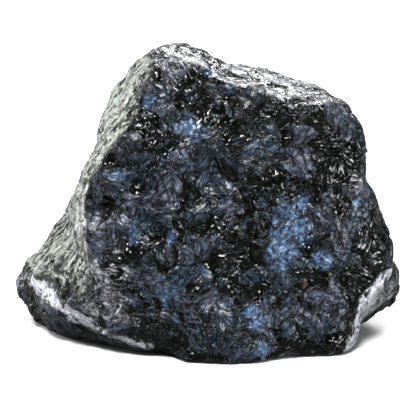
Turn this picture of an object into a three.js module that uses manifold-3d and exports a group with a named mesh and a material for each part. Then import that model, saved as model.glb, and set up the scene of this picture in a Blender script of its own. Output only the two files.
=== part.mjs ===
// A rough, unpolished piece of indigo gabbro, in millimetres, +Z up, standing on its broken base.
// +X is to the right and +Y to the back, so the big fracture face looks along -Y.
//
// The stone is one solid, made the way a quarried lump takes its shape:
//   1. convex blocks between named corners give the masses, which together are star-shaped;
//   2. shell-shaped scars and pits are struck off them;
//   3. one even skin is drawn over the result, and its ridges are worn;
//   4. hollows the size of coarse grains are chipped into the skin, which leaves sharp ridges.
// The base stays flat.
import * as THREE from "three";
import { ConvexGeometry } from "three/addons/geometries/ConvexGeometry.js";
import { mergeVertices } from "three/addons/utils/BufferGeometryUtils.js";
import Module from "manifold-3d";

const wasm = await Module();
wasm.setup();

// ---------- Driving dimensions ----------

// Corners that several blocks share, each [x, y, z]: the ridge between the front and the left
// side, the ledge over the undercut at the lower left, the edge of the base under that ledge,
// and the bevel at the lower right.
const RIDGE = {
  upper: [-13, -4.5, 39.5],
  middle: [-18, -7, 32],
  lower: [-20.5, -9, 26.5],
  foot: [-20.5, -11.3, 16.5],
};
const LEDGE = {
  tip: [-30.2, 1, 9],
  left: [-26.2, -4.5, 7],
  middle: [-23, -8.4, 5.8],
  right: [-19, -11, 4.5],
  low: [-15.5, -12.5, 3.3],
  end: [-9, -14, 1.5],
};
const SOLE = {
  tip: [-29, 3.8, 0],
  left: [-25, -0.9, 0],
  middle: [-19, -4.7, 0],
  right: [-12.5, -9.5, 0],
};
const BEVEL = {
  top: [32.1, -3, 13],
  middle: [29.3, -5.2, 11],
  low: [25.4, -9.6, 8],
  end: [24.6, -9.6, 3.8],
};

// The convex blocks, by their corners. Inner corners only carry a block into its neighbours.
const BLOCKS = {
  body: {
    ...RIDGE,
    browLeft: [-3.5, -3.8, 44.5],
    browMiddle: [5, -5.3, 43.4],
    browRight: [15, -5.2, 41],
    browCorner: [21.4, -2.3, 39.2],
    crestLeft: [4.8, 9, 45],
    crestMiddle: [10, 11, 43.7],
    crestRight: [15.8, 11, 41.4],
    crestCorner: [22.4, 6, 39.4],
    rightUpper: [24.9, 1.5, 36.4],
    rightMiddle: [26.2, 0.5, 32.5],
    rightWaist: [26, -0.6, 28],
    rightBack: [20, 18, 29],
    frontLeft: [-12, -13.8, 8],
    toeInner: [-9.6, -9.4, 0],
    toeLeft: [-5, -13.4, 0],
    toeMiddle: [0.5, -16.3, 0],
    toeRight: [5.8, -16.8, 0],
    toeEnd: [13, -13.6, 0],
    heelRight: [23.5, -11.8, 0],
    bevelEnd: BEVEL.end,
    backLeft: [-14, 17, 26],
    backTop: [2, 17, 38],
    backRight: [16, 23, 15],
    backLow: [-7, 23, 10],
    baseBackLeft: [-10, 18, 0],
    baseBackRight: [15, 19, 0],
    baseRight: [24, 2, 0],
  },
  peak: {
    ridgeUpper: RIDGE.upper,
    left: [-9.8, 2, 49],
    top: [-7, 4, 49.8],
    right: [-4.2, 5, 48],
    saddle: [1.5, 7.5, 45.4],
    saddleFront: [1, -4.6, 43.5],
    front: [-3.5, -3.5, 47.2],
    frontLeft: [-10, -2.8, 45.6],
    capLeft: [-12.6, 4, 46],
    back: [-6, 13, 45],
    inner: [-2, 8, 34],
    innerLeft: [-15, 4, 34],
  },
  shoulder: {
    ridgeUpper: RIDGE.upper,
    ridgeMiddle: RIDGE.middle,
    capLeft: [-11.8, 4, 45],
    bump: [-15.2, 7, 41],
    bumpLow: [-16.5, 9, 36.5],
    middle: [-18.5, 11, 29.5],
    lower: [-20.4, 11, 25.8],
    ridgeLower: RIDGE.lower,
    back: [-11, 17, 36],
    backLow: [-13, 19, 22],
    inner: [2, 12, 30],
  },
  flankUpper: {
    ridgeLower: RIDGE.lower,
    ridgeFoot: RIDGE.foot,
    edgeUpper: [-20.4, 11, 25.8],
    edgeMiddle: [-24.6, 12, 17.2],
    backUpper: [-14, 19, 22],
    back: [-18, 20, 14],
    inner: [-4, 10, 10],
  },
  flankLower: {
    ridgeFoot: RIDGE.foot,
    edgeMiddle: [-24.6, 12, 17.2],
    edgeLower: [-30.4, 11, 9.6],
    ledgeTip: LEDGE.tip,
    ledgeLeft: LEDGE.left,
    ledgeMiddle: LEDGE.middle,
    back: [-19, 20, 12],
    inner: [-4, 10, 4],
  },
  foot: {
    ...LEDGE,
    point: [-33.6, 7, 7.6],
    pointLow: [-32.7, 6, 5.2],
    edge: [-30.4, 11, 9.6],
    faceLeft: RIDGE.foot,
    faceLow: [-6, -14.2, 6],
    soleEdge: [-30.6, 4.5, 1.5],
    soleTip: SOLE.tip,
    soleLeft: SOLE.left,
    soleMiddle: SOLE.middle,
    soleRight: SOLE.right,
    soleBack: [-24, 15, 0],
    back: [-27, 17, 6],
    inner: [-4, 16, 0],
  },
  cheek: {
    waist: [26, -1, 26.6],
    top: [27.4, -1.2, 23.4],
    shoulder: [29, -2, 21],
    middle: [30.8, -2.2, 18.9],
    low: [31.8, -3, 16.5],
    ...BEVEL,
    front: [14, -12.2, 9],
    frontUpper: [17, -7.8, 26.5],
    back: [26, 14, 18],
    inner: [4, 6, 12],
  },
  lobe: {
    tip: [32.9, 3.5, 8.7],
    tipTop: [31.8, 2.5, 12.5],
    tipLow: [32.8, 4, 6.2],
    under: [31.8, 4, 4.8],
    heel: [27, 3, 2.5],
    sole: [24.8, 1, 0],
    bevelMiddle: [28.8, -5, 10.5],
    bevelLow: [25, -8.7, 7],
    soleBack: [23, 12, 0],
    back: [28, 14, 9],
    inner: [12, 4, 8],
  },
};

// What is struck off: where each scar is on the surface, the way it faces, the radius of the
// ball that it follows and its depth. The first four are small pits and a notch in the base's
// rim; the others are the large scars of the back.
const SCARS = [
  { at: [13, -13.6, 0], faces: [0.05, -0.75, -0.65], radius: 5, depth: 1.3 },
  { at: [-17.6, -8.6, 24.2], faces: [-0.4, -1, 0.1], radius: 3.2, depth: 1.1 },
  { at: [-25, -1, 8], faces: [-0.5, -0.5, 0.8], radius: 3, depth: 0.9 },
  { at: [29.6, -2.5, 8.6], faces: [0.7, -0.7, -0.4], radius: 3, depth: 0.8 },
  { at: [-4, 20.6, 24], faces: [-0.2, 1, 0.25], radius: 22, depth: 2.6 },
  { at: [12, 18, 34], faces: [0.4, 0.8, 0.5], radius: 16, depth: 2.4 },
  { at: [24, 12, 22], faces: [1, 0.6, 0.2], radius: 14, depth: 2.2 },
  { at: [-22, 18, 8], faces: [-0.7, 0.9, 0], radius: 13, depth: 1.8 },
  { at: [6, 23, 5], faces: [0.1, 1, -0.4], radius: 12, depth: 1.6 },
];
const SCAR_DETAIL = 7; // how finely a scar's ball is divided

// The skin is drawn out from CENTRE, which sees every point of it, along an even sphere of
// directions stretched to the stone's proportions.
const CENTRE = new THREE.Vector3(0, 3, 19);
const STRETCH = [1.35, 1, 1.15];
const SKIN_DETAIL = 19; // each of the icosahedron's 20 faces becomes (detail + 1)^2 triangles
const EVENING_PASSES = 4; // rounds that aim each direction at the middle of its neighbours
const BASE_TOLERANCE = 0.01; // a point this near to z = 0 belongs to the base

// Wear rounds the ridges by a share of the way to their neighbours' middle, then swells them
// back by a little less, so that the stone keeps its size.
const WEAR_PASSES = 3;
const ROUNDING = 0.6;
const SWELLING = -0.56;

// Chips: small shell-shaped hollows that meet in sharp ridges, at two scales. The depth is from
// a hollow's middle to its ridges, and the unevenness makes some hollows win over others.
const CHIPS = [
  { size: 8, depth: 1.3, unevenness: 0.3, seed: 5 },
  { size: 4, depth: 1.2, unevenness: 0.3, seed: 23 },
];
const CHIP_LEVEL = 0.36; // the level of the hollows that stays in the skin

// ---------- Solids ----------

// A closed three.js geometry as a manifold solid.
function solidOf(geometry) {
  const bare = new THREE.BufferGeometry().setAttribute(
    "position",
    geometry.getAttribute("position"),
  );
  if (geometry.index) bare.setIndex(geometry.index);
  const merged = mergeVertices(bare, 1e-4);
  return new wasm.Manifold(
    new wasm.Mesh({
      numProp: 3,
      vertProperties: merged.getAttribute("position").array,
      triVerts: new Uint32Array(merged.index.array),
    }),
  );
}

function geometryOf(solid) {
  const mesh = solid.getMesh();
  return new THREE.BufferGeometry()
    .setAttribute("position", new THREE.BufferAttribute(mesh.vertProperties, 3))
    .setIndex(new THREE.BufferAttribute(mesh.triVerts, 1));
}

function blockSolid(corners) {
  const points = Object.values(corners).map((c) => new THREE.Vector3(...c));
  return solidOf(new ConvexGeometry(points));
}

function scarSolid({ at, faces, radius, depth }) {
  const outwards = new THREE.Vector3(...faces).normalize();
  const centre = new THREE.Vector3(...at).addScaledVector(outwards, radius - depth);
  const ball = new THREE.IcosahedronGeometry(radius, SCAR_DETAIL);
  return solidOf(ball.translate(centre.x, centre.y, centre.z));
}

// The blocks joined, with the scars struck off.
function hewnSolid() {
  const whole = Object.values(BLOCKS)
    .map(blockSolid)
    .reduce((joined, block) => joined.add(block));
  return SCARS.map(scarSolid).reduce((left, scar) => left.subtract(scar), whole);
}

// ---------- Skin ----------

function directionSphere() {
  const sphere = new THREE.IcosahedronGeometry(1, SKIN_DETAIL).scale(...STRETCH);
  sphere.deleteAttribute("normal");
  sphere.deleteAttribute("uv");
  return mergeVertices(sphere);
}

// For each point, the points that an edge joins to it.
function neighboursIn(skin) {
  const near = Array.from({ length: skin.getAttribute("position").count }, () => new Set());
  const corners = skin.index.array;
  for (let i = 0; i < corners.length; i += 3) {
    const [a, b, c] = [corners[i], corners[i + 1], corners[i + 2]];
    near[a].add(b).add(c);
    near[b].add(c).add(a);
    near[c].add(a).add(b);
  }
  return near.map((set) => [...set]);
}

function middleOf(points, chosen) {
  const sum = new THREE.Vector3();
  for (const k of chosen) sum.add(points[k]);
  return sum.divideScalar(chosen.length);
}

// Where each of the sphere's directions leaves the solid for the last time.
function drawSkin(solid, sphere, neighbours) {
  const target = new THREE.Mesh(
    geometryOf(solid),
    new THREE.MeshBasicMaterial({ side: THREE.DoubleSide }),
  );
  const ray = new THREE.Raycaster();
  const drawnOut = (direction) => {
    ray.set(CENTRE, direction.normalize());
    return ray.intersectObject(target).at(-1).point;
  };
  const start = sphere.getAttribute("position");
  let points = neighbours.map((_, i) =>
    drawnOut(new THREE.Vector3().fromBufferAttribute(start, i)),
  );
  for (let pass = 0; pass < EVENING_PASSES; pass++) {
    points = neighbours.map((near) => drawnOut(middleOf(points, near).sub(CENTRE)));
  }
  return points;
}

function worn(points, neighbours, share) {
  return points.map((point, i) => point.clone().lerp(middleOf(points, neighbours[i]), share));
}

// ---------- Chips ----------

// A repeatable random number from 0 to 1 for a cell of space.
function cellRandom(x, y, z, seed) {
  let h = Math.imul(x, 374761393) ^ Math.imul(y, 668265263);
  h ^= Math.imul(z, 2147483647) ^ Math.imul(seed, 1274126177);
  h = Math.imul(h ^ (h >>> 13), 1103515245);
  h = Math.imul(h ^ (h >>> 16), 2246822519);
  return ((h ^ (h >>> 15)) >>> 0) / 4294967296;
}

// How far the chips raise (or, below zero, lower) the skin at a point. Each cell of space
// strikes one hollow, a bowl round its own middle, and the lowest bowl cuts the skin.
function chipHeight(point, { size, depth, unevenness, seed }) {
  const cell = point.clone().divideScalar(size).floor();
  let lowest = Infinity;
  for (let x = cell.x - 1; x <= cell.x + 1; x++) {
    for (let y = cell.y - 1; y <= cell.y + 1; y++) {
      for (let z = cell.z - 1; z <= cell.z + 1; z++) {
        const random = (n) => cellRandom(x, y, z, seed + n);
        const middle = new THREE.Vector3(x + random(1), y + random(2), z + random(3));
        const reach = middle.multiplyScalar(size).distanceTo(point) / size;
        lowest = Math.min(lowest, reach * reach + unevenness * random(4));
      }
    }
  }
  return depth * (lowest - CHIP_LEVEL);
}

// ---------- The stone ----------

function setPoints(geometry, points) {
  geometry.setFromPoints(points);
  geometry.computeVertexNormals();
}

function stoneGeometry() {
  const skin = directionSphere();
  const neighbours = neighboursIn(skin);
  let points = drawSkin(hewnSolid(), skin, neighbours);
  const onBase = points.map((point) => point.z < BASE_TOLERANCE);
  for (let pass = 0; pass < WEAR_PASSES; pass++) {
    points = worn(points, neighbours, ROUNDING);
    points = worn(points, neighbours, SWELLING);
  }
  setPoints(skin, points);

  const normals = skin.getAttribute("normal").clone();
  const chipped = points.map((point, i) => {
    const outwards = new THREE.Vector3().fromBufferAttribute(normals, i);
    const height = CHIPS.reduce((sum, chip) => sum + chipHeight(point, chip), 0);
    const moved = point.clone().addScaledVector(outwards, height);
    moved.z = onBase[i] ? 0 : Math.max(moved.z, 0);
    return moved;
  });
  setPoints(skin, chipped);
  skin.computeBoundingBox();
  return skin;
}

const gabbro = new THREE.MeshStandardMaterial({
  color: 0x3c4048,
  roughness: 0.45,
  metalness: 0,
});

// The origin is on the base, under the middle of the stone's box.
const stone = new THREE.Mesh(stoneGeometry(), gabbro);
stone.name = "stone";
const middle = stone.geometry.boundingBox.getCenter(new THREE.Vector3());
stone.position.set(-middle.x, -middle.y, 0);

const group = new THREE.Group();
group.add(stone);

export default group;
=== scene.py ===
"""Rough indigo gabbro: its fine surface, its material and a plain studio.

Lengths are millimetres, and MM turns them into Blender's metres. The studio's sizes are metres.
"""

import math

import bmesh
import bpy
import numpy as np
from mathutils import Matrix, Vector


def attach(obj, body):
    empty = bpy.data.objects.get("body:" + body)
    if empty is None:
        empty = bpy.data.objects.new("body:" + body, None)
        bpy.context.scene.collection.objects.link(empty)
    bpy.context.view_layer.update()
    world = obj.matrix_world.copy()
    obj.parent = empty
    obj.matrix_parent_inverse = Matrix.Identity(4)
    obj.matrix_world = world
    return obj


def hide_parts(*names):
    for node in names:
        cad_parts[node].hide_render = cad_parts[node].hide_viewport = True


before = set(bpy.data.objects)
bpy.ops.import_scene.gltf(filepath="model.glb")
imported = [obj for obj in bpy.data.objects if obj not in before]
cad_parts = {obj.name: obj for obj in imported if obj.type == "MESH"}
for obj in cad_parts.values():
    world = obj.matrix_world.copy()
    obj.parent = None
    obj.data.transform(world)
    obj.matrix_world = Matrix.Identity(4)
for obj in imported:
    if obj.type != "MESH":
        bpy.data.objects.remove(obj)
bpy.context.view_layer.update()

MM = 0.001

# ---------- Driving values ----------

WELD = 0.001  # corners of the CAD solid nearer together than this are one
SUBDIVISIONS = 3  # of the CAD solid's triangles, before the relief is raised
FACE_BUDGET = 188_000  # triangles in the finished surface
SHARP_ANGLE = math.radians(50)  # edges that turn more than this aren't smoothed over
RELIEF_STARTS = 0.15  # height at which the flat base ends
RELIEF_WHOLE = 1.5  # height from which the relief is whole

GRAIN_SIZE = 3.4  # coarse grains
BLADE_SIZE = 2.0  # blades that a grain is grown through with
SPLINTER_SIZE = 0.55
GRAIN_LENGTH = 0.72  # 0 is a round grain, and nearer to 1 is a longer lath
BLADE_LENGTH = 0.92
BLADE_SAY = 0.28  # how far a blade may differ from the grain round it
MAFIC_SHARE = 0.40  # share of grains that are black pyroxene
PALE_SHARE = 0.24  # share that are pale feldspar; the rest is a dark, fibrous mixture
VIOLET_TONE = 0.8  # of violet grains, at least: 0 is slate blue, and 1 is violet-grey

GRAIN_SLOPE = 0.14  # how steeply a grain may lean
BLADE_SLOPE = 0.17
SPLINTER_SLOPE = 0.12
TERRACE_SLOPE = 0.15
LEAN_REACH = 1.0  # from a grain's middle, and level beyond
GRAIN_STEP = 0.24  # from the lowest grains up to the highest
BLADE_STEP = 0.10
MINERAL_STEP = 0.1  # from black grains up to the mixture, and from there up to pale ones
TERRACE_SPACING = (1.2, 0.8)  # the least, and how much more it may be
TERRACE_HEIGHT = (0.12, 0.15)  # the same
TERRACE_WANDER = 0.25  # how far terraces bend, in terraces
TREAD_SHARE = 0.75  # of a terrace; the rest is the step up to the next
BRIGHT_RISE = 0.8  # how much higher the terraces of a bright grain are, as a share
BRIGHT_LEAN = (0.0, 0.3, -2.0)  # pulls the cleavage of a bright grain to face up or down
SPLINTER_LOSS = 0.85  # how much lower splinters are on black grains, as a share
PIT_DEPTH = 0.7
RELIEF_SCALE = 0.75  # of all these heights but the pits'
RUBBED_SCALE = 0.35  # what is left of them where the stone is rubbed and pale light is painted

FIBRE_STRETCH = 0.83  # how drawn out the fibres are: 0 is round, and 1 is endless
LEFT_FACE_STRETCH = 0.72  # the same on the left face, where pale sheen is painted
LEFT_END = -10.0  # where that side ends, to the right

# The painted light above which fibres run in streaks.
PEAK_STREAKED = 0.2
LEFT_STREAKED = 0.3
EDGE_STREAKED = 0.1

# How much pale sheen is painted where each face catches the light.
LEFT_SHEEN = 0.79
TOP_SHEEN = 0.44
BEVEL_SHEEN = 0.98
PEAK_SHEEN = 0.42
SHEEN_BREAKS = 0.3  # how much less pale sheen is painted in scattered places, as a share
SHEEN_BREAK_SIZE = 3.0  # how far such places reach

# How squarely a face must look its own way for painted sheen to start, and for it to be whole.
LEFT_TURN = (0.0, 0.75)
TOP_TURN = (0.8, 0.95)
BEVEL_TURN = (0.74, 0.93)

# A place is a point on the surface and how far it reaches.
PLACE_HEART = 0.55  # it is whole within this share of its reach
PLACE_END = 1.15  # and gone beyond this one
INSIDE = 0.3  # the nearness above which a grain is part of it

BLUE_PATCHES = [  # feldspar whose blue sheen is painted into its colour
    ((12.8, -14.0, 22.0), 3.6),
    ((15.4, -13.2, 20.0), 2.4),
    ((11.2, -15.0, 17.4), 2.6),
    ((18.4, -13.2, 15.9), 1.6),
    ((15.8, -12.4, 24.4), 1.8),
    ((0.6, -5.1, 45.5), 1.4),
    ((-8.8, -8.0, 41.3), 1.3),
    ((-2.8, -10.1, 37.3), 2.0),
    ((-13.4, -12.0, 28.4), 1.4),
    ((-12.4, -14.1, 20.6), 2.0),
    ((-5.7, -15.3, 20.3), 1.5),
    ((-6.3, -17.4, 11.0), 1.6),
    ((7.3, -18.2, 7.7), 1.9),
    ((8.5, -18.5, 3.2), 1.6),
    ((18.3, -14.4, 9.7), 1.4),
    ((10.5, -7.1, 42.1), 1.2),
    ((25.2, -7.7, 24.0), 1.4),
    ((22.9, 5.1, 31.0), 2.0),
    ((20.6, 10.9, 20.0), 2.6),
    ((28.6, 1.5, 14.0), 1.5),
    ((15.2, 17.1, 24.0), 1.6),
    ((4.3, 15.1, 33.0), 2.2),
    ((11.8, 19.5, 12.0), 1.8),
    ((-0.5, 17.2, 19.5), 2.8),
    ((-1.2, 10.4, 38.0), 1.3),
    ((-7.1, 18.4, 15.0), 1.6),
    ((-10.6, 14.1, 28.0), 2.0),
    ((3.4, 18.1, 6.0), 1.5),
    ((-14.1, 11.7, 9.0), 2.0),
    ((-25.2, -10.2, 6.0), 1.1),
    ((4.0, 6.0, 43.9), 1.4),
]
VIOLET_PATCHES = [  # coarse violet-grey feldspar
    ((5.4, -12.3, 31.6), 2.2),
    ((7.8, -7.8, 43.1), 1.8),
    ((-16.3, -13.5, 21.8), 2.8),
    ((22.8, -10.9, 18.5), 3.0),
    ((14.3, -14.5, 16.5), 2.2),
    ((19.1, -14.0, 10.3), 2.2),
    ((-6.0, -12.9, 27.4), 2.6),
    ((3.6, -13.8, 26.0), 2.2),
    ((-19.0, -14.5, 9.4), 2.4),
    ((-12.4, -15.7, 14.9), 2.4),
    ((-17.4, -15.0, 13.6), 2.2),
    ((21.5, -7.5, 36.5), 2.2),
    ((15.5, -9.4, 36.0), 1.8),
    ((-10.8, -16.2, 13.0), 2.0),
    ((-15.2, -15.8, 9.4), 2.4),
    ((-12.5, -16.8, 7.2), 2.0),
    ((20.4, -6.4, 38.2), 2.2),
    ((18.2, -9.2, 33.4), 1.8),
]
CLEAVED_PATCHES = [  # black pyroxene, cleaved in bright steps
    ((-2.0, -7.0, 45.0), 2.6),
    ((-7.2, -4.8, 47.2), 2.8),
    ((-10.0, -7.6, 42.4), 2.2),
    ((-8.0, -9.1, 38.8), 2.6),
    ((-9.2, -10.7, 35.2), 2.4),
    ((-14.2, -5.5, 39.0), 1.6),
    ((11.0, -9.4, 40.1), 2.2),
    ((17.6, -7.6, 40.2), 2.8),
    ((11.7, -11.4, 31.2), 2.2),
    ((20.4, -8.4, 32.6), 2.8),
    ((23.4, -7.6, 27.2), 2.2),
    ((18.6, -12.5, 19.6), 1.8),
    ((17.4, -14.2, 14.0), 2.6),
    ((4.0, -15.3, 18.9), 2.0),
    ((-8.9, -13.6, 21.3), 2.2),
    ((-14.8, -15.6, 16.6), 1.8),
    ((-4.1, -17.4, 9.5), 2.6),
    ((-9.2, -17.6, 7.4), 2.0),
    ((-23.8, -9.6, 13.9), 2.6),
]
DARK_PATCHES = [  # black pyroxene with few glints; the two low at the lower right stand in for painted shade under the undercut
    ((15.1, -16.4, 1.5), 3.0),
    ((20.0, -15.8, 1.5), 3.2),
    ((29.6, -5.8, 17.0), 3.4),
    ((27.6, -9.0, 15.4), 2.8),
    ((3.4, -15.6, 13.6), 3.0),
    ((5.8, -16.6, 11.0), 2.4),
]
PITS = [  # hollows, darkened with painted shade
    ((-24.6, -10.0, 10.8), 1.0),
    ((-22.7, -12.4, 10.5), 1.0),
    ((-17.1, -15.1, 5.4), 1.1),
    ((-25.9, -4.1, 11.9), 0.8),
    ((-16.3, -12.3, 24.4), 1.5),
    ((29.3, -9.2, 10.5), 0.9),
    ((26.6, -11.7, 9.0), 0.9),
    ((25.2, -12.1, 5.6), 0.8),
]
CYAN_FLECKS = [((-14.4, -3.0, 41.2), 0.3), ((-14.6, -3.0, 40.2), 0.35)]
PEACH_FLECKS = [
    ((15.8, -15.2, 12.8), 0.22),
    ((15.8, -15.2, 12.4), 0.22),
    ((15.9, -15.2, 12.0), 0.22),
]
LIT_PATCHES = [  # places painted pale: highlights on the peak and rims, glints in bright clusters, and light on the lower left; each with how much of it is pale
    ((-10.3, -3.5, 46.6), 1.8, 0.5),
    ((-6.9, -2.0, 48.6), 2.2, 0.45),
    ((-1.6, -1.8, 47.4), 2.2, 0.45),
    ((-20.9, -13.9, 13.8), 1.6, 0.9),
    ((24.2, -7.3, 26.8), 2.2, 0.55),
    ((-9.0, -8.6, 39.4), 1.5, 0.6),
    ((11.4, -7.6, 41.8), 1.8, 0.45),
    ((14.4, -8.7, 40.5), 2.2, 0.42),
    ((17.8, -7.2, 40.6), 1.8, 0.42),
    ((21.4, -3.4, 39.6), 2.2, 0.55),
    ((28.4, -9.5, 9.2), 2.2, 0.6),
    ((-18.6, -15.3, 14.6), 2.4, 0.7),
    ((-17.3, -15.6, 12.0), 2.8, 0.7),
    ((-14.4, -15.8, 14.6), 2.4, 0.6),
    ((-14.8, -15.8, 9.4), 3.0, 0.6),
    ((-19.4, -14.4, 8.6), 2.8, 0.65),
    ((-12.0, -16.6, 7.4), 2.2, 0.5),
    ((-16.9, -15.1, 6.2), 2.0, 0.6),
]
RIDGE_EDGE = [
    (-19.4, -11.5, 27.8),
    (-20.2, -11.3, 25.4),
    (-20.1, -11.4, 23.3),
    (-19.9, -13.1, 21.6),
    (-19.8, -14.0, 19.8),
    (-19.4, -14.5, 16.6),
]
LEDGE_EDGE = [
    (-29.1, -3.1, 9.3),
    (-27.1, -4.7, 8.1),
    (-24.9, -10.0, 7.8),
    (-22.1, -12.6, 6.4),
    (-18.6, -14.0, 4.7),
]
LEDGE_END = [
    (-18.6, -14.0, 4.7),
    (-15.3, -15.6, 3.6),
    (-12.2, -16.1, 2.8),
    (-9.0, -16.5, 2.1),
]
BEVEL_EDGE = [
    (30.6, -6.4, 11.6),
    (29.8, -8.6, 11.7),
    (27.8, -10.7, 10.4),
    (25.4, -12.4, 8.3),
    (25.0, -12.5, 6.4),
    (24.6, -13.0, 4.4),
]
HIGHLIT_EDGES = [  # sharp edges painted pale as rim highlights, each with its width
    (RIDGE_EDGE, 0.5),
    (LEDGE_EDGE, 1.2),
    (LEDGE_END, 0.6),
    (BEVEL_EDGE, 1.0),
]
BARE_PATCHES = [  # dark crystals that stand out of the painted pale sheen on the left face
    ((-24.1, -8.9, 13.7), 1.7),
    ((-21.0, -11.8, 17.6), 1.3),
    ((-23.7, -7.6, 20.4), 0.9),
    ((-24.9, -9.6, 10.6), 1.5),
    ((-22.6, -12.4, 10.6), 1.4),
]
LEFT_RIDGE = [  # how far right the ridge beside the left face's painted pale sheen stands, and at which height
    (-19.4, 16.6),
    (-20.0, 23.5),
    (-19.4, 27.8),
    (-18.2, 30.3),
    (-15.6, 33.4),
    (-11.4, 39.0),
    (-9.4, 45.1),
]
LEDGE_HEIGHT = 9.5  # of the ledge below the left face
LEFT_SIDE = (-0.8, -0.4, 0.45)  # the way the left face looks
RIDGE_BORDER = (-0.3, 0.5)  # how far left of the ridge its painted sheen starts, and where it is whole
LEDGE_BORDER = (-0.5, 1.0)  # the same above the ledge
LEFT_FADE = (-2.0, 14.0)  # its painted sheen fades between these, from front to back
LEFT_LOSS = 0.7  # by this share
LEFT_STREAKS = (0.62, 0.08, 0.78)  # the way its streaks run
BEVEL_SIDE = (0.81, -0.47, -0.35)  # the way the bevel at the lower right looks, where pale sheen is painted
BEVEL_FADE = (-8.0, 2.0)  # its painted sheen fades between these, from front to back
BEVEL_TOP = (10.5, 13.0)  # and between these heights
PEAK = ((-5.5, -5.0, 46.4), 6.2)  # the place of the streaked crystals at the peak, which is painted with pale sheen
PEAK_STREAKS = (0.5, -0.6, -0.62)  # the way their streaks run

# ---------- Vectors and steps ----------

TINY = 1e-6


def unit(vectors):
    """Each vector, made one long. Those of no length stay as they are."""
    return vectors / np.linalg.norm(vectors, axis=1, keepdims=True).clip(TINY)


def dot(first, second):
    return np.sum(first * second, axis=1)


def lying(directions, normals):
    """The directions turned to lie along the surface."""
    return unit(directions - dot(directions, normals)[:, None] * normals)


def smoothstep(low, high, x):
    """0 up to low, 1 from high on, and a smooth rise between them."""
    t = np.clip((x - low) / (high - low), 0, 1)
    return t * t * (3 - 2 * t)


# ---------- Repeatable noise ----------

# Noise on another channel is other noise. The same channel gives the same numbers again.
GRAIN_CHANNEL = 10
BLADE_CHANNEL = 63
SPLINTER_CHANNEL = 83

# Turns the grid that noise is made on, so that no row of it lies along a face of the stone.
GRID = np.array(Matrix.Rotation(math.radians(38), 3, Vector((0.36, 0.48, 0.8))))

# Large odd numbers and shifts that scatter the bits of a cell's number.
CHANNEL_FACTOR = 3266489917
CELL_FACTORS = (374761393, 668265263, 2246822519)
SCATTER_STEPS = ((13, 1274126177), (16, 2654435761))
LAST_SHIFT = 15


def cell_random(cells, channel):
    """A number from 0 to 1 for each row of whole-number cells, and for each channel."""
    bits = np.uint32(channel * CHANNEL_FACTOR % 2**32)
    for axis, factor in enumerate(CELL_FACTORS):
        bits = bits ^ cells[:, axis].astype(np.int64).astype(np.uint32) * np.uint32(factor)
    for shift, factor in SCATTER_STEPS:
        bits = (bits ^ (bits >> np.uint32(shift))) * np.uint32(factor)
    return (bits ^ (bits >> np.uint32(LAST_SHIFT))).astype(np.float64) / 2**32


def cell_vector(cells, channel):
    return np.stack([cell_random(cells, channel + k) for k in range(3)], axis=1)


def cell_direction(cells, channel):
    return unit(cell_vector(cells, channel) - 0.5)


def long_axis(cells, channel):
    """The way in which the grains of a channel are drawn out."""
    return cell_direction(cells, channel + 3)


def smooth_noise(points, size, channel):
    """Noise from -1 to 1 that changes over about the given size."""
    scaled = points @ GRID / size
    base = np.floor(scaled)
    t = smoothstep(0, 1, scaled - base)
    total = np.zeros(len(points))
    for corner in np.ndindex(2, 2, 2):
        offset = np.array(corner)
        weight = np.prod(np.where(offset == 1, t, 1 - t), axis=1)
        total += weight * cell_random(base + offset, channel)
    return 2 * total - 1


def warped(points, size, amount, channel):
    """The points moved about by noise, so that straight borders turn ragged."""
    moves = [smooth_noise(points, size, channel + k) for k in range(3)]
    return points + amount * np.stack(moves, axis=1)


def grains_at(points, normals, size, channel, length=0.0):
    """The grain that holds each point: its cell, the way from its middle, and how deep inside.

    Space is filled with one grain a cell. A length above 0 draws each grain out along its own axis,
    which lies in the surface.
    """
    home = np.floor(points @ GRID / size)
    nearest = np.full(len(points), np.inf)
    second = np.full(len(points), np.inf)
    cell = np.zeros_like(points)
    way = np.zeros_like(points)
    for step in np.ndindex(3, 3, 3):
        here = home + np.array(step) - 1
        offset = points - (here + cell_vector(here, channel)) * size @ GRID.T
        distance = dot(offset, offset)
        if length:
            along = dot(offset, lying(long_axis(here, channel), normals))
            distance -= length * along * along
        closer = distance < nearest
        second = np.where(closer, nearest, np.minimum(second, distance))
        nearest = np.where(closer, distance, nearest)
        cell[closer] = here[closer]
        way[closer] = offset[closer]
    depth = np.sqrt(second) - np.sqrt(nearest)
    return cell, way, depth


def mean_of_grain(cells, vectors):
    """For each point, the mean of the unit vectors over all the points of its own grain."""
    _, group = np.unique(cells, axis=0, return_inverse=True)
    group = group.ravel()
    totals = [np.bincount(group, weights=vectors[:, k]) for k in range(3)]
    return unit(np.stack(totals, axis=1))[group]


def lean(cells, way, slope, channel):
    """Height of each grain's own leaning plane, which is level beyond LEAN_REACH."""
    along = dot(way, cell_direction(cells, channel))
    return slope * np.clip(along, -LEAN_REACH, LEAN_REACH)


# ---------- Places on the surface ----------


def nearness(points, places):
    """1 in the heart of a place, fading to 0 round it."""
    share = np.zeros(len(points))
    for middle, reach in places:
        distance = np.linalg.norm(points - np.array(middle), axis=1)
        gone = smoothstep(PLACE_HEART * reach, PLACE_END * reach, distance)
        share = np.maximum(share, 1 - gone)
    return share


def in_places(points, places):
    return nearness(points, places) > INSIDE


def along_chain(points, chain):
    """How far each point is from a chain of straight pieces, and the way the nearest piece runs."""
    nearest = np.full(len(points), np.inf)
    way = np.zeros_like(points)
    for start, end in zip(chain, chain[1:]):
        start, along = np.array(start), np.array(end) - np.array(start)
        t = np.clip((points - start) @ along / (along @ along), 0, 1)
        distance = np.linalg.norm(points - start - t[:, None] * along, axis=1)
        closer = distance < nearest
        nearest = np.where(closer, distance, nearest)
        way[closer] = along / np.linalg.norm(along)
    return nearest, way


# ---------- Grains ----------


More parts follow.
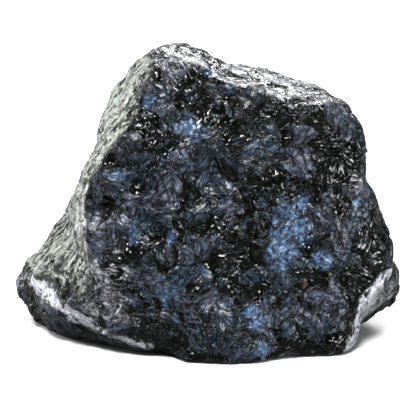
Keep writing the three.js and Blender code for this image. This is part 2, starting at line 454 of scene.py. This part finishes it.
class Rock:
    """The grains and blades at each point of the surface, and what each is made of."""

    def __init__(self, points, normals):
        self.points = points
        self.normals = normals
        self.ragged = warped(points, size=2.4, amount=1.0, channel=20)
        self.ragged = warped(self.ragged, size=0.9, amount=0.45, channel=23)
        grains = grains_at(self.ragged, normals, GRAIN_SIZE, GRAIN_CHANNEL, GRAIN_LENGTH)
        self.grain, self.way, _ = grains
        self.level = mean_of_grain(self.grain, normals)
        bent = warped(points, size=0.8, amount=0.25, channel=60)
        blades = grains_at(bent, normals, BLADE_SIZE, BLADE_CHANNEL, BLADE_LENGTH)
        self.blade, self.blade_way, self.blade_depth = blades
        self.choose_minerals()

    def choose_minerals(self):
        """Black, pale or mixed for each blade: by chance, outside the places that say which."""
        middle = self.ragged - self.way
        violet = in_places(middle, VIOLET_PATCHES)
        bright = in_places(middle, CLEAVED_PATCHES)
        dark = in_places(middle, DARK_PATCHES)
        kind = np.where(violet, 1.0, cell_random(self.grain, channel=30))
        kind = np.where(dark | bright, 0.0, kind)
        kind = (1 - BLADE_SAY) * kind + BLADE_SAY * cell_random(self.blade, channel=35)
        low, high = np.quantile(kind, [MAFIC_SHARE, 1 - PALE_SHARE])
        self.mafic = (kind < low).astype(float)
        self.pale = (kind > high).astype(float)
        self.bright = bright.astype(float)
        self.tone = np.maximum(cell_random(self.grain, channel=33), VIOLET_TONE * violet)

    def cleavage_axis(self):
        """The way a pyroxene grain's cleavage planes face: mostly up or down in a bright grain."""
        axis = cell_direction(self.grain, channel=40)
        return unit(axis + self.bright[:, None] * np.array(BRIGHT_LEAN))

    def terraces(self):
        """Cleavage: a face cut into parallel terraces, which look up where the grain is bright."""
        least, more = TERRACE_SPACING
        spacing = least + more * cell_random(self.grain, channel=44)
        wander = TERRACE_WANDER * smooth_noise(self.points, size=2.0, channel=45)
        phase = dot(self.way, self.cleavage_axis()) / spacing + wander
        phase -= np.floor(phase)
        terrace = np.minimum(phase / TREAD_SHARE, (1 - phase) / (1 - TREAD_SHARE)) - 0.5
        least, more = TERRACE_HEIGHT
        height = least + more * cell_random(self.grain, channel=46)
        height *= 1 + BRIGHT_RISE * self.bright
        return lean(self.grain, self.way, TERRACE_SLOPE, channel=47) + height * terrace

    def blades(self):
        """Small leaning faces, some higher than others."""
        step = BLADE_STEP * (cell_random(self.blade, channel=66) - 0.5)
        return lean(self.blade, self.blade_way, BLADE_SLOPE, channel=70) + step

    def splinters(self):
        bent = warped(self.points, size=0.5, amount=0.15, channel=80)
        splinter, way, _ = grains_at(bent, self.normals, SPLINTER_SIZE, SPLINTER_CHANNEL)
        return lean(splinter, way, SPLINTER_SLOPE, channel=86)

    def relief(self):
        """Height of the fresh rock, before any of it is rubbed down."""
        step = GRAIN_STEP * (cell_random(self.grain, channel=31) - 0.5)
        step += MINERAL_STEP * (self.pale - self.mafic)
        height = lean(self.grain, self.way, GRAIN_SLOPE, channel=32) + step
        height += self.mafic * self.terraces()
        height += (1 - self.mafic) * self.blades()
        height += (1 - SPLINTER_LOSS * self.mafic) * self.splinters()
        return height

    def fibre_axis(self):
        """The way the fibres run: along a black grain's terraces, and along a pale blade."""
        along_terraces = unit(np.cross(self.cleavage_axis(), self.level))
        blade_level = mean_of_grain(self.blade, self.normals)
        along_blade = lying(long_axis(self.blade, BLADE_CHANNEL), blade_level)
        return np.where(self.mafic[:, None] > 0, along_terraces, along_blade)


# ---------- Painted sheen, highlights and light ---


def ridge_place(height):
    """How far to the right the ridge beside the left face stands at each height."""
    places, heights = zip(*LEFT_RIDGE)
    return np.interp(height, heights, places)


def left_face_share(points, normals, uneven):
    """Above 0 where pale sheen is painted on the face left of the ridge and above the ledge, less
    at the back.
    """
    left_of_ridge = ridge_place(points[:, 2]) - points[:, 0] + 0.5 * uneven
    above_ledge = points[:, 2] - LEDGE_HEIGHT + 0.7 * uneven
    faces_left = smoothstep(*LEFT_TURN, normals @ np.array(LEFT_SIDE) + 0.25 * uneven)
    back = smoothstep(*LEFT_FADE, points[:, 1] + 2.0 * uneven)
    share = smoothstep(*RIDGE_BORDER, left_of_ridge) * smoothstep(*LEDGE_BORDER, above_ledge)
    share *= faces_left
    return LEFT_SHEEN * share * (1 - LEFT_LOSS * back)


def bevel_share(points, normals, uneven):
    """1 where pale sheen is painted on the bevel at the lower right of the front."""
    share = smoothstep(*BEVEL_TURN, normals @ np.array(BEVEL_SIDE) + 0.14 * uneven)
    share *= 1 - smoothstep(*BEVEL_FADE, points[:, 1] + 1.5 * uneven)
    return share * (1 - smoothstep(*BEVEL_TOP, points[:, 2]))


def patch_share(points, uneven):
    """How pale each lit patch is painted, within its reach."""
    moved = points + 0.6 * uneven[:, None]
    shares = [much * nearness(moved, [(middle, reach)]) for middle, reach, much in LIT_PATCHES]
    return np.maximum.reduce(shares)


def highlit_edges(points, uneven):
    """For each edge painted as a rim highlight: how much of it is at each point, and the way it
    runs.
    """
    roughness = uneven + smooth_noise(points, size=0.7, channel=111)
    edges = []
    for chain, width in HIGHLIT_EDGES:
        distance, way = along_chain(points, chain)
        distance += 0.25 * width * roughness
        edges.append((1 - smoothstep(0.4 * width, 1.5 * width, distance), way))
    return edges


def light_and_wear_share(points, normals, uneven, left, edges):
    """1 where pale sheen, highlights and light are painted: on faces that look up, left and to the
    lower right, at the peak, in patches and along edges.
    """
    # Faces that look up get painted pale sheen, as the light falls on them.
    top = smoothstep(*TOP_TURN, normals[:, 2] + 0.08 * uneven)
    bevel = bevel_share(points, normals, uneven)
    patch = patch_share(points, uneven)
    peak = nearness(points, [PEAK])
    share = np.maximum.reduce([left, TOP_SHEEN * top, BEVEL_SHEEN * bevel, patch, PEAK_SHEEN * peak])
    bare = smoothstep(-0.1, 0.5, smooth_noise(points, SHEEN_BREAK_SIZE, channel=115))
    share *= 1 - SHEEN_BREAKS * bare
    share *= 1 - nearness(points + 0.5 * uneven[:, None], BARE_PATCHES)
    for edge, _ in edges:
        share = np.maximum(share, edge)
    return share


def streaked_axis(rock, left, edges):
    """The way the fibres run, with the streaks of the peak, the left face and the highlit edges."""
    peak = nearness(rock.points, [PEAK])
    axis = rock.fibre_axis()
    on_peak = lying(np.array([PEAK_STREAKS]), rock.level)
    axis = np.where(peak[:, None] > PEAK_STREAKED, on_peak, axis)
    axis = np.where(left[:, None] > LEFT_STREAKED, np.array(LEFT_STREAKS), axis)
    for edge, way in edges:
        axis = np.where(edge[:, None] > EDGE_STREAKED, way, axis)
    return axis


def fibre_place(axis, points, light_and_wear):
    """The points squeezed along an axis, so that noise read there runs in fibres."""
    curved = warped(points, size=1.6, amount=0.45, channel=93)
    on_left = (light_and_wear > LEFT_STREAKED) & (points[:, 0] < LEFT_END)
    stretch = np.where(on_left, LEFT_FACE_STRETCH, FIBRE_STRETCH)
    return curved - (stretch * dot(curved, axis))[:, None] * axis


# ---------- The fine surface ----------


def unevenness(points):
    """Noise that makes the borders of the painted sheen ragged."""
    fine = smooth_noise(points, size=1.6, channel=110)
    return fine + 0.6 * smooth_noise(points, size=4.5, channel=112)


def surface_values(points, normals):
    """The height of the relief, and what the material reads at each point."""
    rock = Rock(points, normals)
    uneven = unevenness(points)
    left = left_face_share(points, normals, uneven)
    edges = highlit_edges(points, uneven)
    # Where pale sheen, highlights and light are painted; the relief is lowered there too.
    light_and_wear = light_and_wear_share(points, normals, uneven, left, edges)
    scale = RELIEF_SCALE * (1 - (1 - RUBBED_SCALE) * light_and_wear)
    # Pits sink into the relief and are darkened with painted shade.
    pit_and_shade = nearness(rock.ragged, PITS)
    inside = np.minimum(rock.blade_depth, 1.0)
    broken = warped(points, size=2.6, amount=1.6, channel=100)
    broken = warped(broken, size=0.8, amount=0.5, channel=103)
    return {
        "height": scale * rock.relief() - PIT_DEPTH * pit_and_shade,
        "mafic": (2 * rock.mafic - 1) * inside,
        "pale": (2 * rock.pale - 1) * inside,
        "tone": rock.tone,
        "blue": nearness(broken, BLUE_PATCHES),
        "light_and_wear": light_and_wear,
        "left_sheen": left,
        "cyan": nearness(points, CYAN_FLECKS),
        "peach": nearness(points, PEACH_FLECKS),
        "pit_and_shade": pit_and_shade,
        "fibre": fibre_place(streaked_axis(rock, left, edges), points, light_and_wear),
    }


def fine_mesh(node):
    """The CAD solid's surface, its shared corners joined, rounded and finely divided."""
    mesh = node.data.copy()
    joined = bmesh.new()
    joined.from_mesh(mesh)
    bmesh.ops.remove_doubles(joined, verts=joined.verts, dist=WELD * MM)
    joined.to_mesh(mesh)
    joined.free()
    coarse = bpy.data.objects.new("coarse", mesh)
    bpy.context.scene.collection.objects.link(coarse)
    divide = coarse.modifiers.new("divide", "SUBSURF")
    divide.levels = SUBDIVISIONS
    shaped = coarse.evaluated_get(bpy.context.evaluated_depsgraph_get())
    fine = bpy.data.meshes.new_from_object(shaped)
    bpy.data.objects.remove(coarse)
    return fine


def read_points(mesh):
    points = np.empty(len(mesh.vertices) * 3)
    mesh.vertices.foreach_get("co", points)
    return points.reshape(-1, 3) / MM


def read_normals(mesh):
    normals = np.empty(len(mesh.vertices) * 3)
    mesh.vertex_normals.foreach_get("vector", normals)
    return normals.reshape(-1, 3)


def write_points(mesh, points):
    mesh.vertices.foreach_set("co", (points * MM).ravel())
    mesh.update()


def write_values(mesh, name, values):
    """Stores numbers, or vectors, on the mesh's points under a name that the material reads."""
    if values.ndim == 1:
        layer = mesh.attributes.new(name, "FLOAT", "POINT")
        layer.data.foreach_set("value", values.astype(np.float32))
    else:
        layer = mesh.attributes.new(name, "FLOAT_VECTOR", "POINT")
        layer.data.foreach_set("vector", values.astype(np.float32).ravel())


def rough_stone(node):
    """The stone, raised from the CAD solid's surface by the relief."""
    mesh = fine_mesh(node)
    points = read_points(mesh)
    normals = read_normals(mesh)
    values = surface_values(points, normals)
    share = smoothstep(RELIEF_STARTS, RELIEF_WHOLE, points[:, 2])
    raised = points + normals * (values["height"] * share)[:, None]
    raised[:, 2] = np.maximum(raised[:, 2], 0)
    write_points(mesh, raised)
    for name, numbers in values.items():
        write_values(mesh, name, numbers)
    stone = bpy.data.objects.new("rough_stone", mesh)
    bpy.context.scene.collection.objects.link(stone)
    return stone


def thin_out(stone):
    """Joins faces where the surface is flattest until the budget is met."""
    mesh = stone.data
    faces = 2 * len(mesh.polygons)
    thin = stone.modifiers.new("thin", "DECIMATE")
    thin.ratio = FACE_BUDGET / faces
    thin.use_collapse_triangulate = True
    shaped = stone.evaluated_get(bpy.context.evaluated_depsgraph_get())
    thinned = bpy.data.meshes.new_from_object(shaped)
    stone.modifiers.remove(thin)
    stone.data = thinned
    bpy.data.meshes.remove(mesh)
    thinned.shade_smooth()
    thinned.set_sharp_from_angle(angle=SHARP_ANGLE)


# ---------- Material ----------

# Colours, in linear red, green and blue. Some are pairs.
PYROXENE = ((0.0004, 0.0007, 0.0004), (0.003, 0.005, 0.0025))  # between the fibres, and on them
MIXTURE_GAP = (0.0006, 0.0010, 0.0011)  # between the fibres of the dark mixture
SLATE = ((0.062, 0.074, 0.104), (0.029, 0.082, 0.126))  # its greyer fibres, and its bluer ones
FELDSPAR = ((0.046, 0.090, 0.148), (0.150, 0.162, 0.224))  # slate blue, and violet-grey
FELDSPAR_GAP = (0.0015, 0.002, 0.004)  # between its fibres
FELDSPAR_SHADE = (0.001, 0.002, 0.003)  # between its clouds
VEIN = (0.12, 0.135, 0.17)
AZURE = ((0.11, 0.24, 0.46), (0.30, 0.36, 0.50))  # painted blue sheen: full, and washed out
AZURE_GAP = (0.035, 0.07, 0.14)  # between its fibres
DIM_SHEEN = ((0.150, 0.151, 0.168), (0.165, 0.176, 0.149))  # painted dim sheen and light: on the front, and on the left face
PALE_SHEEN = ((0.340, 0.344, 0.374), (0.300, 0.317, 0.276))  # painted pale sheen: the same two
STREAKED_HIGHLIGHT = ((0.21, 0.215, 0.24), (0.58, 0.59, 0.65))  # painted highlights: between their streaks, and on them
CYAN = (0.06, 0.26, 0.29)
PEACH = (0.66, 0.48, 0.38)
# Painted shade in the pits.
PIT_SHADE = (0.002, 0.002, 0.0025)

# Sizes of the patterns in the material.
STRAND_SIZE = 0.27  # fibres
SLIVER_SIZE = 0.30
SWATHE_SIZE = 0.5  # painted sheen
SPECKLE_SIZE = 0.9
VEIN_SIZE = 0.9
JAG_SIZE = 1.1
CLOUD_SIZE = 1.3
SPOT_SIZE = 2.0
COOL_SIZE = 4.0

# Soft borders. Below the first number all is one thing, and above the second all is the other.
CLOUD_BORDER = (0.42, 0.6)
WISP_BORDER = (0.47, 0.64)
STREAK_BORDER = (0.42, 0.58)
SPOT_BORDER = (0.40, 0.45)
SHEEN_BORDER = (0.66, 0.715)
MAFIC_BORDER = (-0.08, 0.08)
PALE_BORDER = (-0.1, 0.35)
VEIN_WIDTH = 0.02

SHEEN_RISE = 0.35  # how much more painted sheen there is inside its mask
SHEEN_OFF_BLACK = 0.07  # how much less there is on black grains
SHEEN_FILM = 0.12  # what the left face has of it all over
JAG_DEPTH = 2.2
NOISE_ROUGHNESS = 0.6

BLACK_SLIVERS = 1.2  # how steep the slivers are on black grains
PALE_SLIVERS = 0.35  # and on the others
SHEEN_RELIEF = 0.45  # what is left of the fine relief under the painted sheen

SPECULAR_LEVEL = 0.25
SHEEN_ROUGHNESS = 0.5
FELDSPAR_ROUGHNESS = 0.26
PYROXENE_ROUGHNESS = (0.15, 0.06)  # in the dullest grains, and in the brightest


# Blender's mix node has sockets of the same names for numbers, vectors and colours.
MIXED_COLOURS = (6, 7)
MIXED_RESULT = 2


class Nodes:
    """A material's node tree, with short calls to add and join nodes."""

    def __init__(self, material):
        self.tree = material.node_tree
        self.tree.nodes.clear()

    def add(self, kind, **settings):
        node = self.tree.nodes.new(kind)
        for name, value in settings.items():
            setattr(node, name, value)
        return node

    def join(self, source, target):
        self.tree.links.new(source, target)

    def feed(self, socket, value):
        if isinstance(value, bpy.types.NodeSocket):
            self.join(value, socket)
        elif isinstance(value, tuple) and len(value) == 3:
            socket.default_value = (*value, 1)
        else:
            socket.default_value = value

    def attribute(self, name, output="Fac"):
        return self.add("ShaderNodeAttribute", attribute_name=name).outputs[output]

    def math(self, operation, *values):
        node = self.add("ShaderNodeMath", operation=operation)
        for socket, value in zip(node.inputs, values):
            self.feed(socket, value)
        return node.outputs[0]

    def vector(self, operation, *values, output="Vector"):
        node = self.add("ShaderNodeVectorMath", operation=operation)
        for socket, value in zip(node.inputs, values):
            if isinstance(value, tuple):
                socket.default_value = value
            else:
                self.join(value, socket)
        return node.outputs[output]

    def mix(self, share, first, second):
        """The first colour where the share is 0, and the second where it is 1."""
        node = self.add("ShaderNodeMix", data_type="RGBA")
        self.feed(node.inputs["Factor"], share)
        for place, colour in zip(MIXED_COLOURS, (first, second)):
            self.feed(node.inputs[place], colour)
        return node.outputs[MIXED_RESULT]

    def ramp(self, value, low, high, start=0.0, end=1.0):
        """The value carried from between low and high to between start and end."""
        node = self.add("ShaderNodeMapRange")
        for socket, number in zip(node.inputs, (value, low, high, start, end)):
            self.feed(socket, number)
        return node.outputs[0]

    def place(self):
        """Where a point is on the stone, in millimetres."""
        node = self.add("ShaderNodeVectorMath", operation="SCALE")
        self.join(self.add("ShaderNodeTexCoord").outputs["Object"], node.inputs[0])
        node.inputs["Scale"].default_value = 1 / MM
        return node.outputs[0]

    def noise(self, place, size, detail, distortion):
        node = self.add("ShaderNodeTexNoise")
        self.join(place, node.inputs["Vector"])
        node.inputs["Scale"].default_value = 1 / size
        node.inputs["Detail"].default_value = detail
        node.inputs["Roughness"].default_value = NOISE_ROUGHNESS
        node.inputs["Distortion"].default_value = distortion
        return node.outputs["Fac"]

    def facets(self, place, size):
        """Height, in millimetres, of small flat faces that each lean their own way."""
        cells = self.add("ShaderNodeTexVoronoi")
        self.join(place, cells.inputs["Vector"])
        cells.inputs["Scale"].default_value = 1 / size
        way = self.vector("SUBTRACT", place, cells.outputs["Position"])
        slope = self.vector("SUBTRACT", cells.outputs["Color"], (0.5, 0.5, 0.5))
        return self.vector("DOT_PRODUCT", way, slope, output="Value")

    def veins(self, place, size, width):
        """1 along thin curved lines, and 0 between them."""
        lines = self.noise(place, size, detail=2.0, distortion=0.8)
        middle = self.math("SUBTRACT", lines, 0.5)
        return self.ramp(self.math("ABSOLUTE", middle), 0.0, width, 1.0, 0.0)

    def bump(self, height):
        """Relief from a height in millimetres."""
        node = self.add("ShaderNodeBump")
        node.inputs["Distance"].default_value = MM
        self.join(height, node.inputs["Height"])
        return node.outputs[0]


class Gabbro(Nodes):
    """The stone's material, with a step for each thing that shows on it."""

    def __init__(self, material):
        super().__init__(material)
        self.here = self.place()
        self.fibre = self.attribute("fibre", "Vector")
        self.halfway = self.vector("ADD", self.here, self.fibre)
        self.tone = self.attribute("tone")
        # Where pale sheen, highlights and light are painted.
        self.light_and_wear = self.attribute("light_and_wear")
        self.jags = self.border_jags()
        self.mafic = self.share_of("mafic", MAFIC_BORDER)
        self.pale = self.share_of("pale", PALE_BORDER)
        self.strands = self.noise(self.fibre, STRAND_SIZE, detail=4.0, distortion=0.6)
        self.wisps = self.ramp(self.strands, *WISP_BORDER)
        self.cloud = self.clouds(CLOUD_SIZE, detail=4.0, distortion=0.8)
        self.speckle = self.clouds(SPECKLE_SIZE, detail=3.0, distortion=0.8)
        self.left_sheen = self.attribute("left_sheen")
        # Where that mask is whole, painted highlight streaks.
        self.worn = self.ramp(self.light_and_wear, 0.75, 1.0, 0.0, 0.85)
        self.sheen_cover = self.sheen_cover_share()

    def clouds(self, size, detail, distortion):
        """1 in soft clouds, and 0 between them."""
        return self.ramp(self.noise(self.here, size, detail, distortion), *CLOUD_BORDER)

    def border_jags(self):
        """What is added to a mineral's share, so that its borders are jagged."""
        jags = self.noise(self.halfway, JAG_SIZE, detail=4.0, distortion=0.8)
        return self.math("MULTIPLY", self.math("SUBTRACT", jags, 0.5), JAG_DEPTH)

    def share_of(self, mineral, border):
        """1 inside a mineral's grains, with jagged borders."""
        return self.ramp(self.math("ADD", self.attribute(mineral), self.jags), *border)

    def sheen_cover_share(self):
        """1 where pale sheen is painted: swathes of it, less on black grains, and a film on the
        left face.
        """
        swathes = self.noise(self.fibre, SWATHE_SIZE, detail=2.5, distortion=0.5)
        cover = self.math("ADD", swathes, self.math("MULTIPLY", self.light_and_wear, SHEEN_RISE))
        cover = self.math("SUBTRACT", cover, self.math("MULTIPLY", self.mafic, SHEEN_OFF_BLACK))
        swathes = self.ramp(cover, *SHEEN_BORDER)
        swathes = self.math("MULTIPLY", swathes, self.ramp(self.light_and_wear, 0.0, 0.2))
        film = self.ramp(self.left_sheen, 0.3, 0.6, 0.0, SHEEN_FILM)
        return self.math("MAXIMUM", swathes, self.math("MAXIMUM", self.worn, film))

    def dark_mixture(self):
        """Slate fibres with dark gaps, dimmer between the clouds."""
        cool = self.clouds(COOL_SIZE, detail=3.0, distortion=0.5)
        colour = self.mix(self.wisps, MIXTURE_GAP, self.mix(cool, *SLATE))
        dim = self.mix(0.75, colour, MIXTURE_GAP)
        return self.mix(self.cloud, dim, colour)

    def feldspar(self):
        """Pale fibres with dark gaps, dimmer between the clouds."""
        colour = self.mix(self.tone, *FELDSPAR)
        gap = self.mix(0.85, colour, FELDSPAR_GAP)
        colour = self.mix(self.wisps, gap, colour)
        dim = self.mix(0.6, colour, FELDSPAR_SHADE)
        return self.mix(self.cloud, dim, colour)

    def pyroxene(self):
        return self.mix(self.wisps, *PYROXENE)

    def fresh_rock(self):
        veins = self.math("MULTIPLY", self.veins(self.fibre, VEIN_SIZE, VEIN_WIDTH), 0.5)
        colour = self.mix(self.pale, self.dark_mixture(), self.feldspar())
        colour = self.mix(veins, colour, VEIN)
        return self.mix(self.mafic, colour, self.pyroxene())

    def with_blue(self, colour):
        """Painted blue sheen in patches, broken up by cloud."""
        azure = self.mix(self.wisps, AZURE_GAP, self.mix(self.speckle, *AZURE))
        broken = self.ramp(self.cloud, 0.0, 0.9, 0.1, 1.0)
        share = self.math("MULTIPLY", self.attribute("blue"), broken)
        return self.mix(share, colour, azure)

    def with_painted_sheen(self, colour):
        """Painted pale sheen in swathes, and painted white highlight streaks where the sheen is
        whole.
        """
        on_left = self.ramp(self.left_sheen, 0.0, 0.3)
        sheen = self.mix(self.speckle, self.mix(on_left, *DIM_SHEEN), self.mix(on_left, *PALE_SHEEN))
        streaked = self.mix(self.ramp(self.strands, *STREAK_BORDER), *STREAKED_HIGHLIGHT)
        return self.mix(self.sheen_cover, colour, self.mix(self.worn, sheen, streaked))

    def with_bare_spots(self, colour):
        """Black spots left bare in the painted sheen."""
        spots = self.noise(self.halfway, SPOT_SIZE, detail=3.0, distortion=0.4)
        spots = self.ramp(spots, *SPOT_BORDER, 1.0, 0.0)
        share = self.math("MULTIPLY", spots, self.ramp(self.light_and_wear, 0.1, 0.5, 0.0, 0.9))
        return self.mix(share, colour, self.pyroxene())

    def colour(self):
        colour = self.with_blue(self.fresh_rock())
        colour = self.with_bare_spots(self.with_painted_sheen(colour))
        # Cyan and peach flecks, and painted shade in the pits.
        for name, mark in (("cyan", CYAN), ("peach", PEACH), ("pit_and_shade", PIT_SHADE)):
            colour = self.mix(self.attribute(name), colour, mark)
        return colour

    def roughness(self):
        polish = self.ramp(self.tone, 0.0, 1.0, *PYROXENE_ROUGHNESS)
        bare = self.ramp(self.mafic, 0.0, 1.0, FELDSPAR_ROUGHNESS, polish)
        return self.ramp(self.sheen_cover, 0.0, 1.0, bare, SHEEN_ROUGHNESS)

    def fine_relief(self):
        """Slivers too small for the mesh, steepest on the black grains and dulled under the painted
        sheen.
        """
        slivers = self.facets(self.fibre, SLIVER_SIZE)
        steepness = self.ramp(self.mafic, 0.0, 1.0, PALE_SLIVERS, BLACK_SLIVERS)
        height = self.math("MULTIPLY", slivers, steepness)
        fuzz = self.math("MULTIPLY", self.strands, self.ramp(self.mafic, 0.0, 1.0, 0.05, 0.0))
        height = self.math("ADD", height, fuzz)
        return self.math("MULTIPLY", height, self.ramp(self.sheen_cover, 0.0, 1.0, 1.0, SHEEN_RELIEF))


def gabbro_material():
    material = bpy.data.materials.new("gabbro")
    material.use_nodes = True
    gabbro = Gabbro(material)
    shader = gabbro.add("ShaderNodeBsdfPrincipled")
    shader.inputs["Specular IOR Level"].default_value = SPECULAR_LEVEL
    gabbro.join(gabbro.colour(), shader.inputs["Base Color"])
    gabbro.join(gabbro.roughness(), shader.inputs["Roughness"])
    gabbro.join(gabbro.bump(gabbro.fine_relief()), shader.inputs["Normal"])
    output = gabbro.add("ShaderNodeOutputMaterial")
    gabbro.join(shader.outputs[0], output.inputs["Surface"])
    return material


# ---------- Studio ----------

FOCUS = Vector((0.12, -3.40, 21.9)) * MM  # what the camera looks at
CAMERA_DISTANCE = 330 * MM
CAMERA_ELEVATION = 15  # degrees
SENSOR = 36.0  # millimetres, as Blender's cameras have it
VIEW_WIDTH = 69.06 * MM  # what the frame spans at the focus
CLIP = (0.01, 20)  # metres, nearest and farthest that the camera sees
FLOOR_SIZE = 6.0  # metres
ROOM_LIGHT = 0.035  # radiance that reaches the stone from the room
BACKDROP = 0.95  # radiance of the wall behind, as the camera sees it
FLOOR_SHADES = (0.1, 0.6)  # what the floor reflects towards the stone, and towards the camera
FLOOR_ROUGHNESS = 0.9
SOFTBOXES = [  # name, azimuth and elevation, then distance, width and height in metres, radiance
    ("overhead", 0, 90, 1.0, 1.0, 1.0, 2.2),
    ("key", -14, 52, 0.9, 0.3, 0.2, 90.0),
    ("back", 165, 38, 0.9, 0.6, 0.4, 22.0),
    ("left", -110, 12, 0.9, 0.4, 0.4, 22.0),
    ("right", 68, 6, 0.9, 0.3, 0.3, 30.0),
]


def direction(azimuth, elevation):
    """Unit vector to a place round the stone. Azimuth 0 is in front and 90 is at the right."""
    a, e = math.radians(azimuth), math.radians(elevation)
    return Vector((math.sin(a) * math.cos(e), -math.cos(a) * math.cos(e), math.sin(e)))


def facing_stone(name, data, azimuth, elevation, distance):
    """A camera or a light, put in the studio and turned towards the stone."""
    thing = bpy.data.objects.new(name, data)
    towards = direction(azimuth, elevation)
    thing.location = FOCUS + towards * distance
    thing.rotation_euler = (-towards).to_track_quat("-Z", "Y").to_euler()
    bpy.context.scene.collection.objects.link(thing)
    return thing


def add_camera():
    data = bpy.data.cameras.new("camera")
    data.sensor_width = SENSOR
    data.lens = SENSOR * CAMERA_DISTANCE / VIEW_WIDTH
    data.clip_start, data.clip_end = CLIP
    camera = facing_stone("camera", data, 0, CAMERA_ELEVATION, CAMERA_DISTANCE)
    bpy.context.scene.camera = camera


def add_softbox(name, azimuth, elevation, distance, width, height, radiance):
    """A rectangular light that faces the stone, as bright all over as its radiance."""
    data = bpy.data.lights.new(name, "AREA")
    data.shape = "RECTANGLE"
    data.size = width
    data.size_y = height
    data.energy = radiance * math.pi * width * height
    lamp = facing_stone(name, data, azimuth, elevation, distance)
    lamp.visible_camera = False


def by_who_sees(tree, to_stone, to_camera):
    """A number that is one thing for light that reaches the stone and another for the camera."""
    seen = tree.nodes.new("ShaderNodeLightPath")
    number = tree.nodes.new("ShaderNodeMapRange")
    number.inputs["To Min"].default_value = to_stone
    number.inputs["To Max"].default_value = to_camera
    tree.links.new(seen.outputs["Is Camera Ray"], number.inputs["Value"])
    return number.outputs[0]


def add_floor():
    """A pale floor that throws little light back up into the stone's shadows."""
    bpy.ops.mesh.primitive_plane_add(size=FLOOR_SIZE, location=(0, 0, 0))
    floor = bpy.context.object
    floor.name = "floor"
    paint = bpy.data.materials.new("floor")
    paint.use_nodes = True
    tree = paint.node_tree
    shader = tree.nodes["Principled BSDF"]
    tree.links.new(by_who_sees(tree, *FLOOR_SHADES), shader.inputs["Base Color"])
    shader.inputs["Roughness"].default_value = FLOOR_ROUGHNESS
    floor.data.materials.append(paint)


def add_world():
    """Dim light from all round, in front of a pale backdrop."""
    world = bpy.data.worlds.new("studio")
    world.use_nodes = True
    tree = world.node_tree
    background = tree.nodes["Background"]
    background.inputs["Color"].default_value = (1, 1, 1, 1)
    tree.links.new(by_who_sees(tree, ROOM_LIGHT, BACKDROP), background.inputs["Strength"])
    bpy.context.scene.world = world


def add_studio():
    bpy.context.scene.view_settings.view_transform = "Standard"
    add_world()
    add_floor()
    for softbox in SOFTBOXES:
        add_softbox(*softbox)
    add_camera()


# ---------- The scene ----------

stone = rough_stone(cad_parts["stone"])
thin_out(stone)
stone.data.materials.clear()
stone.data.materials.append(gabbro_material())
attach(stone, "root")
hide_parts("stone")

add_studio()
